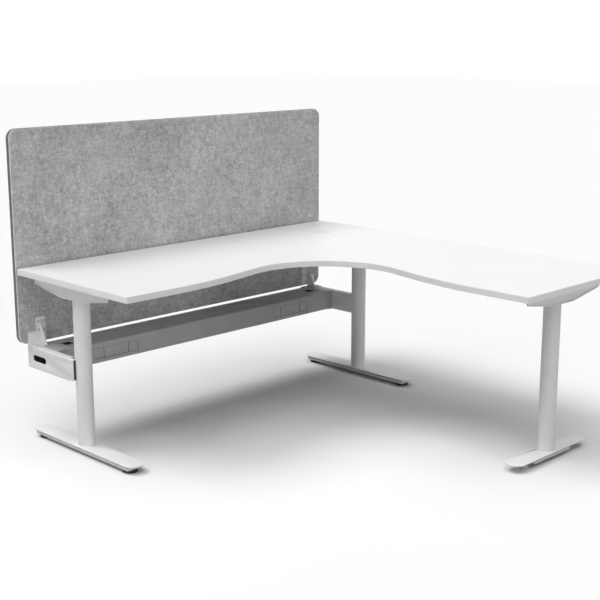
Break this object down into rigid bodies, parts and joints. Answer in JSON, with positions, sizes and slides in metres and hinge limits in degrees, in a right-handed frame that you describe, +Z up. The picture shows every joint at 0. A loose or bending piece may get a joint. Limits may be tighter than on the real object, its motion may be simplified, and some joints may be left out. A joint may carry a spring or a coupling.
{
  "type": "corner workstation desk with acoustic screen",
  "caption": "L-shaped corner desk on round-column legs, with a curved inner edge, an acoustic felt screen along one wing and a lidded cable tray under it.",
  "frame": {"origin": "centre of the footprint of the whole object, on the floor", "axes": "+Z up; the screen stands along the +Y side; the wing beside the screen runs along X and the return wing along Y at the +X side"},
  "size_m": [1.8, 1.833, 1.312],
  "materials": {
    "black_plastic": "black moulded plastic",
    "edge_trim": "white edge banding",
    "felt": "mottled grey pressed felt",
    "grey_steel": "satin light grey powder coat",
    "pale_plastic": "fine-grained pale grey plastic",
    "rail_steel": "black powder coat, under the worktop",
    "screen_board": "fibreboard core, covered",
    "white_steel": "satin white powder coat",
    "worktop_board": "smooth white melamine-faced board",
    "zinc_steel": "zinc-plated fastener"
  },
  "bodies": {
    "frame": {"arm_bolts": "zinc_steel", "arm_pad_left": "black_plastic", "arm_pad_right": "black_plastic", "bracket_screws": "zinc_steel", "cable_port_liner": "pale_plastic", "cable_tray": "grey_steel", "column_base_plug_corner": "zinc_steel", "column_base_plug_left": "zinc_steel", "column_base_plug_right": "zinc_steel", "column_bolts": "zinc_steel", "column_corner": "white_steel", "column_head_plate_corner": "white_steel", "column_head_plate_left": "white_steel", "column_head_plate_right": "white_steel", "column_left": "white_steel", "column_right": "white_steel", "data_blanks_left": "grey_steel", "data_blanks_right": "grey_steel", "edge_band": "edge_trim", "foot_bolts": "zinc_steel", "foot_channel_corner": "white_steel", "foot_channel_left": "white_steel", "foot_channel_right": "white_steel", "foot_plate_corner": "white_steel", "foot_plate_left": "white_steel", "foot_plate_right": "white_steel", "leveller_nuts": "zinc_steel", "rail_bolts": "zinc_steel", "rear_rail": "rail_steel", "return_rail": "rail_steel", "screen_bracket_left": "white_steel", "screen_bracket_right": "white_steel", "screen_core": "screen_board", "screen_felt_back": "felt", "screen_felt_front": "felt", "socket_blank_left": "grey_steel", "socket_blank_right": "grey_steel", "support_arm_corner": "white_steel", "support_arm_left": "white_steel", "support_arm_right": "white_steel", "tray_arm_left": "white_steel", "tray_arm_right": "white_steel", "tray_end_cover_left": "grey_steel", "tray_end_cover_right": "grey_steel", "worktop": "worktop_board", "worktop_screws": "zinc_steel"},
    "tray_lid": {"tray_lid": "grey_steel", "lid_bushes": "black_plastic"},
    "port_cap": {"cable_port_cap": "pale_plastic"},
    "leveller_corner_back": {"leveller_corner_back": "black_plastic"},
    "leveller_corner_front": {"leveller_corner_front": "black_plastic"},
    "leveller_left_back": {"leveller_left_back": "black_plastic"},
    "leveller_left_front": {"leveller_left_front": "black_plastic"},
    "leveller_right_back": {"leveller_right_back": "pale_plastic"},
    "leveller_right_front": {"leveller_right_front": "pale_plastic"}
  },
  "joints": [
    {"name": "tray_lid_lift", "type": "slide", "parent": "frame", "child": "tray_lid", "axis": [0, 0, 1], "range_m": [0, 0.06]},
    {"name": "port_cap_turn", "type": "hinge", "parent": "frame", "child": "port_cap", "pos_m": [0.66, 0.6435, 0.741], "axis": [0, 0, 1], "continuous": true},
    {"name": "leveller_corner_back_height", "type": "slide", "parent": "frame", "child": "leveller_corner_back", "axis": [0, 0, -1], "range_m": [0, 0.008]},
    {"name": "leveller_corner_front_height", "type": "slide", "parent": "frame", "child": "leveller_corner_front", "axis": [0, 0, -1], "range_m": [0, 0.008]},
    {"name": "leveller_left_back_height", "type": "slide", "parent": "frame", "child": "leveller_left_back", "axis": [0, 0, -1], "range_m": [0, 0.008]},
    {"name": "leveller_left_front_height", "type": "slide", "parent": "frame", "child": "leveller_left_front", "axis": [0, 0, -1], "range_m": [0, 0.008]},
    {"name": "leveller_right_back_height", "type": "slide", "parent": "frame", "child": "leveller_right_back", "axis": [0, 0, -1], "range_m": [0, 0.008]},
    {"name": "leveller_right_front_height", "type": "slide", "parent": "frame", "child": "leveller_right_front", "axis": [0, 0, -1], "range_m": [0, 0.008]}
  ]
}
